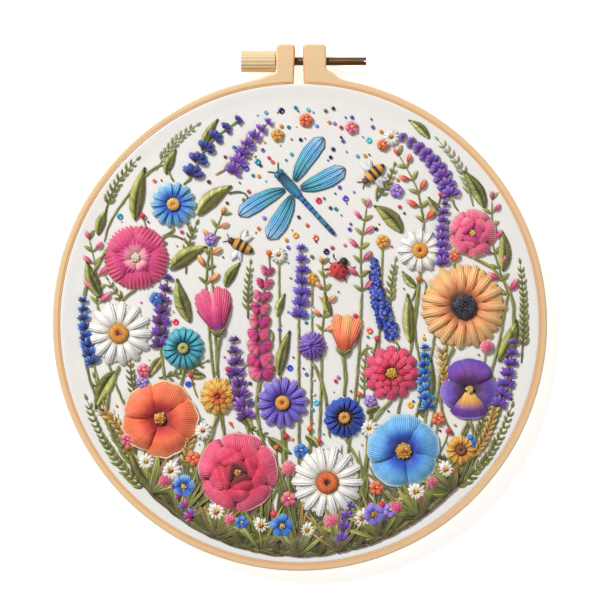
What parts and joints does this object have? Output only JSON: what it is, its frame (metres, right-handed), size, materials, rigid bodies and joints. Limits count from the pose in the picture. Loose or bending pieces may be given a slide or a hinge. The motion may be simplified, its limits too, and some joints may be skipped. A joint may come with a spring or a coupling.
{
  "type": "hoop embroidery art",
  "caption": "Round wooden embroidery hoop with a tension screw, holding a stretched cloth stitched with a padded flower garland, a dragonfly and bees.",
  "frame": {"origin": "centre of the bounding box on its base: the hoop lies on its back and rests on the inner ring's back rim", "axes": "+Z out of the stitched face, +Y towards the ears and the tension screw, +X to the right as the face is seen"},
  "size_m": [0.2, 0.2128, 0.0146],
  "materials": {
    "hoop_wood": "smooth pale beech with a satin varnish",
    "inner_wood": "smooth pale beech",
    "knob_wood": "bare turned wood with lengthwise ridges",
    "screw_metal": "dark antique bronze, streaked",
    "cloth_cotton": "plain woven cotton",
    "thread_crimson": "woven wheel of matt thread",
    "thread_white": "satin stitch",
    "thread_blue": "satin stitch",
    "thread_violet": "satin stitch",
    "thread_apricot": "satin stitch",
    "thread_pink": "woven wheel of matt thread",
    "thread_magenta": "satin stitch",
    "thread_teal": "satin stitch",
    "thread_coral": "satin stitch",
    "thread_gold": "looped stitch",
    "thread_lilac": "satin stitch",
    "thread_royal": "satin stitch",
    "thread_raspberry": "satin stitch",
    "thread_sky": "satin stitch",
    "thread_purple": "looped stitch",
    "thread_cornflower": "satin stitch",
    "thread_red": "satin stitch",
    "thread_indigo": "knotted stitch",
    "thread_mauve": "knotted stitch",
    "thread_rose": "satin stitch",
    "thread_green": "fishbone and stem stitch",
    "thread_dragonfly": "wrapped stitch",
    "thread_wing": "open satin stitch",
    "thread_honey": "padded satin stitch"
  },
  "bodies": {
    "hoop": {"outer_hoop": "hoop_wood", "inner_hoop": "inner_wood", "cloth": "cloth_cotton", "rose_crimson": "thread_crimson", "cosmos_white": "thread_white", "flax_blue": "thread_blue", "pansy_violet": "thread_violet", "dahlia_apricot": "thread_apricot", "cosmos_small": "thread_white", "rose_pink": "thread_pink", "cosmos_left": "thread_white", "dianthus_magenta": "thread_magenta", "button_teal": "thread_teal", "hibiscus_coral": "thread_coral", "marigold_gold": "thread_gold", "aster_lilac": "thread_lilac", "button_blue": "thread_royal", "zinnia_raspberry": "thread_raspberry", "aster_sky": "thread_sky", "thistle_purple": "thread_purple", "forget_blue_a": "thread_cornflower", "forget_blue_b": "thread_cornflower", "forget_blue_c": "thread_cornflower", "aster_gold": "thread_gold", "ladybird": "thread_red", "spike_bluebell": "thread_indigo", "spike_lilac": "thread_mauve", "spike_foxglove": "thread_rose", "spike_grape": "thread_indigo", "tulip_pink": "thread_rose", "tulip_coral": "thread_coral", "stem_tulip_pink": "thread_green", "stem_tulip_coral": "thread_green", "stem_thistle": "thread_green", "dragonfly_body": "thread_dragonfly", "wing_fore_right": "thread_wing", "wing_hind_right": "thread_wing", "wing_fore_left": "thread_wing", "wing_hind_left": "thread_wing", "bee_body_right": "thread_honey", "bee_body_left": "thread_honey", "leaf_01": "thread_green", "leaf_02": "thread_green", "leaf_03": "thread_green", "leaf_04": "thread_green", "leaf_05": "thread_green", "leaf_06": "thread_green", "leaf_07": "thread_green", "leaf_08": "thread_green", "leaf_09": "thread_green", "leaf_10": "thread_green", "leaf_11": "thread_green", "leaf_12": "thread_green", "leaf_13": "thread_green", "leaf_14": "thread_green", "leaf_15": "thread_green", "leaf_16": "thread_green", "leaf_17": "thread_green"},
    "screw": {"screw_rod": "screw_metal", "screw_knob": "knob_wood"}
  },
  "joints": [
    {"name": "screw_turn", "type": "hinge", "parent": "hoop", "child": "screw", "pos_m": [0, 0.09975, 0.006], "axis": [1, 0, 0], "continuous": true}
  ]
}
